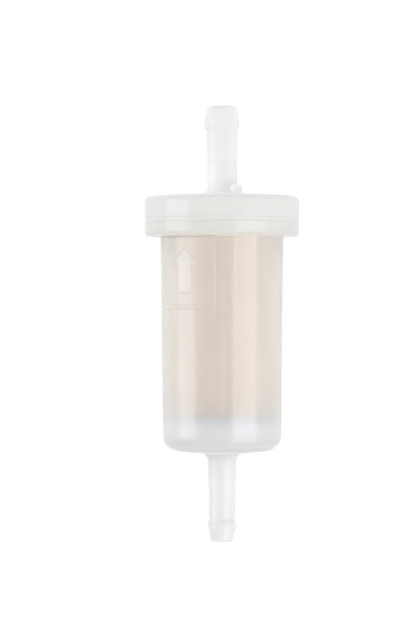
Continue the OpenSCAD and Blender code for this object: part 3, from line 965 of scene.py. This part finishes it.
HOLLOW_Z = BASE_Z + FLOOR_T / 2, FLANGE_TOP - MARGIN  # the bowl's inner faces are within these
HOLLOW_R = INLET_BORE_R + MARGIN, TONGUE_IN
ARROW_SPAN = ELEMENT_Z, COLLAR_Z - 1
bowl.data.materials.append(BOWL_INSIDE)
bowl.data.materials.append(ARROW_SKIN)
INSIDE_INDEX, ARROW_INDEX = 1, 2
for face in bowl.data.polygons:
    r = math.hypot(face.center.x, face.center.y) / MM
    z = (face.center.z - TIP_Z) / MM
    outward = Vector((face.center.x, face.center.y, 0)).normalized() - Vector((0, 0, 1))
    hollow = HOLLOW_Z[0] < z < HOLLOW_Z[1] and HOLLOW_R[0] < r < HOLLOW_R[1]
    if hollow and face.normal.dot(outward) < 0:
        face.material_index = INSIDE_INDEX
    if ARROW_SPAN[0] < z < ARROW_SPAN[1] and r > wall_r(z) + PAD_H + RELIEF_H / 2:
        face.material_index = ARROW_INDEX

# ---- stage and light ----

FLOOR_DROP = 0.55  # the filter hangs over the floor, as it does in its hoses
FLOOR_REACH = 4.0
FLOOR_GREY = 0.85


def white_floor():
    """A floor that is plain white in the picture and an even pale grey in the object's reflections."""
    mat = material(
        "white floor",
        1.0,
        Base_Color=(FLOOR_GREY, FLOOR_GREY, FLOOR_GREY, 1),
        Specular_IOR_Level=0.0,
        Emission_Color=(1, 1, 1, 1),
    )
    path = add(mat, "ShaderNodeLightPath")
    drive(mat, "Emission Strength", path.outputs["Is Camera Ray"])
    mesh = bpy.data.meshes.new("floor")
    square = ((-1, -1), (1, -1), (1, 1), (-1, 1))
    corners = [(x * FLOOR_REACH, y * FLOOR_REACH, TIP_Z - FLOOR_DROP) for x, y in square]
    mesh.from_pydata(corners, [], [(0, 1, 2, 3)])
    mesh.materials.append(mat)
    obj = bpy.data.objects.new("floor", mesh)
    bpy.context.scene.collection.objects.link(obj)


white_floor()

AROUND, BEHIND, BEFORE, LEFT, RIGHT = 1.0, 0.86, 0.915, 1.28, 1.09  # radiance, by side
FRONT_TO_BACK = [(0.05, grey(BEFORE)), (0.35, grey(AROUND)), (0.75, grey(AROUND)), (0.95, grey(BEHIND))]


def spread(tree, value, ends):
    """A value carried over from one range to another: ends gives both ends of the first, then the second."""
    node = add(tree, "ShaderNodeMapRange")
    for key, end in zip(("From Min", "From Max", "To Min", "To Max"), ends):
        node.inputs[key].default_value = end
    tree.node_tree.links.new(value, node.inputs["Value"])
    return node.outputs["Result"]


def studio():
    """A bright surround, dimmer behind the object and the camera; the picture's background is plain white."""
    world = bpy.data.worlds.new("studio")
    bpy.context.scene.world = world
    world.use_nodes = True
    links = world.node_tree.links
    coords = add(world, "ShaderNodeTexCoord")
    split = add(world, "ShaderNodeSeparateXYZ")
    links.new(coords.outputs["Generated"], split.inputs[0])
    level = ramp(world, spread(world, split.outputs["Y"], (-1.0, 1.0, 0.0, 1.0)), FRONT_TO_BACK)
    for ends in ((-1.0, 0.0, LEFT, 1.0), (0.0, 1.0, 1.0, RIGHT)):
        both = add(world, "ShaderNodeMath", operation="MULTIPLY")
        links.new(level, both.inputs[0])
        links.new(spread(world, split.outputs["X"], ends), both.inputs[1])
        level = both.outputs["Value"]
    path = add(world, "ShaderNodeLightPath")
    mix = add(world, "ShaderNodeMix")
    links.new(path.outputs["Is Camera Ray"], mix.inputs["Factor"])
    links.new(level, mix.inputs["A"])
    mix.inputs["B"].default_value = 1.0
    background = world.node_tree.nodes["Background"]
    links.new(mix.outputs["Result"], background.inputs["Strength"])
    background.inputs["Color"].default_value = (1, 1, 1, 1)


studio()

CENTRE = (CAD_BOX[0] + CAD_BOX[1]) / 2
SOFTBOX_COLOR = (0.98, 1.0, 1.02)
SOFTBOX_DISTANCE = 0.9
SOFTBOX_TILT = 0.4  # a softbox faces a point this share of its own rise above the middle


def softbox(name, azimuth, width, height, rise, radiance):
    """A rectangular light that faces the object; its azimuth is from the camera, positive towards +X."""
    light = bpy.data.lights.new(name, "AREA")
    light.shape = "RECTANGLE"
    light.size = width
    light.size_y = height
    light.energy = radiance * math.pi * width * height
    light.color = SOFTBOX_COLOR
    obj = bpy.data.objects.new(name, light)
    a = math.radians(azimuth)
    out = Vector((math.sin(a) * SOFTBOX_DISTANCE, -math.cos(a) * SOFTBOX_DISTANCE, rise))
    obj.location = CENTRE + out
    aim = CENTRE + Vector((0, 0, rise * SOFTBOX_TILT)) - obj.location
    obj.rotation_euler = aim.to_track_quat("-Z", "Y").to_euler()
    obj.visible_camera = False
    bpy.context.scene.collection.objects.link(obj)


softbox("left softbox", -72, width=0.62, height=0.6, rise=0.03, radiance=2.4)
softbox("right softbox", 44.8, width=0.83, height=0.64, rise=-0.255, radiance=2.8)

# ---- the camera, which looks level along +Y ----

FRAME_W, FRAME_H = 413, 620
FILTER_SHARE = 0.7008  # of the picture's height that the filter's length takes
ASIDE, ABOVE = -0.0376, 0.0222  # the camera's place beside the middle, in shares of the picture's sides
DISTANCE = 0.6
SENSOR = 36.0

view_h = LENGTH * MM / FILTER_SHARE
camera = bpy.data.cameras.new("camera")
camera.sensor_width = SENSOR
camera.lens = SENSOR * DISTANCE / view_h
camera_obj = bpy.data.objects.new("camera", camera)
camera_obj.location = (ASIDE * view_h * FRAME_W / FRAME_H, -DISTANCE, CENTRE.z + ABOVE * view_h)
camera_obj.rotation_euler = (math.radians(90), 0, 0)
bpy.context.scene.collection.objects.link(camera_obj)
bpy.context.scene.camera = camera_obj
bpy.context.scene.view_settings.view_transform = "Standard"
